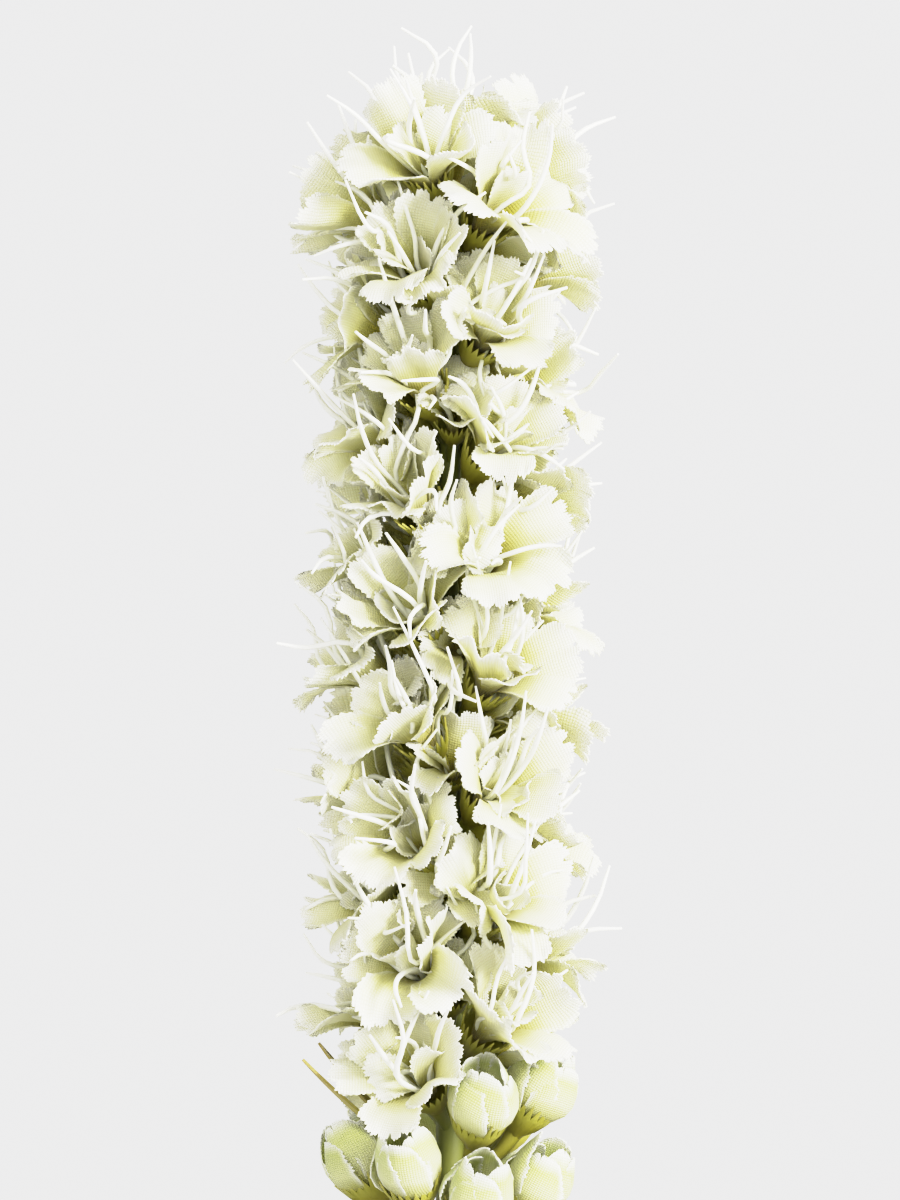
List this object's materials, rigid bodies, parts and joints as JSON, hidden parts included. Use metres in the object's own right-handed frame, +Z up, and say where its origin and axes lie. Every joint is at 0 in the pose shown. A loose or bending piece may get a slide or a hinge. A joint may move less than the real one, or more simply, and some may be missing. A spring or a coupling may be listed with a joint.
{
  "type": "blazing star in vase",
  "caption": "Artificial blazing star: one upright spike of white fabric florets with long filaments over pale green buds, on a leafy stem in a plain ceramic bottle vase.",
  "frame": {"origin": "centre of the vase's flat underside", "axes": "+Z up along the stem, -Y towards the viewer of the picture, +X to the viewer's right"},
  "size_m": [0.1214, 0.1076, 0.4676],
  "materials": {
    "vase_glaze": "satin off-white glaze over stoneware",
    "stem_green": "moulded olive-green plastic, matt",
    "petal_fabric": "plain-weave fabric, cream white fading to pale green at the throat",
    "bud_fabric": "plain-weave fabric, pale yellow-green"
  },
  "bodies": {
    "root": {"vase": "vase_glaze", "flower_stem": "stem_green", "floret_crown": "petal_fabric", "floret_01": "petal_fabric", "floret_02": "petal_fabric", "floret_03": "petal_fabric", "floret_04": "petal_fabric", "floret_05": "petal_fabric", "floret_06": "petal_fabric", "floret_07": "petal_fabric", "floret_08": "petal_fabric", "floret_09": "petal_fabric", "floret_10": "petal_fabric", "floret_11": "petal_fabric", "floret_12": "petal_fabric", "floret_13": "petal_fabric", "floret_14": "petal_fabric", "floret_15": "petal_fabric", "floret_16": "petal_fabric", "floret_17": "petal_fabric", "floret_18": "petal_fabric", "floret_19": "petal_fabric", "floret_20": "petal_fabric", "floret_21": "petal_fabric", "floret_22": "petal_fabric", "floret_23": "petal_fabric", "floret_24": "petal_fabric", "floret_25": "petal_fabric", "floret_26": "petal_fabric", "floret_27": "petal_fabric", "floret_28": "petal_fabric", "floret_29": "petal_fabric", "floret_30": "petal_fabric", "floret_31": "petal_fabric", "floret_32": "petal_fabric", "floret_33": "petal_fabric", "floret_34": "petal_fabric", "floret_35": "petal_fabric", "floret_36": "petal_fabric", "floret_37": "petal_fabric", "floret_38": "petal_fabric", "floret_39": "petal_fabric", "floret_40": "petal_fabric", "floret_41": "petal_fabric", "floret_42": "petal_fabric", "floret_43": "petal_fabric", "floret_44": "petal_fabric", "bud_01": "bud_fabric", "bud_02": "bud_fabric", "bud_03": "bud_fabric", "bud_04": "bud_fabric", "bud_05": "bud_fabric", "bud_06": "bud_fabric", "bud_07": "bud_fabric", "bud_08": "bud_fabric", "bud_09": "bud_fabric", "bud_10": "bud_fabric", "bud_11": "bud_fabric", "bud_12": "bud_fabric"}
  },
  "joints": []
}
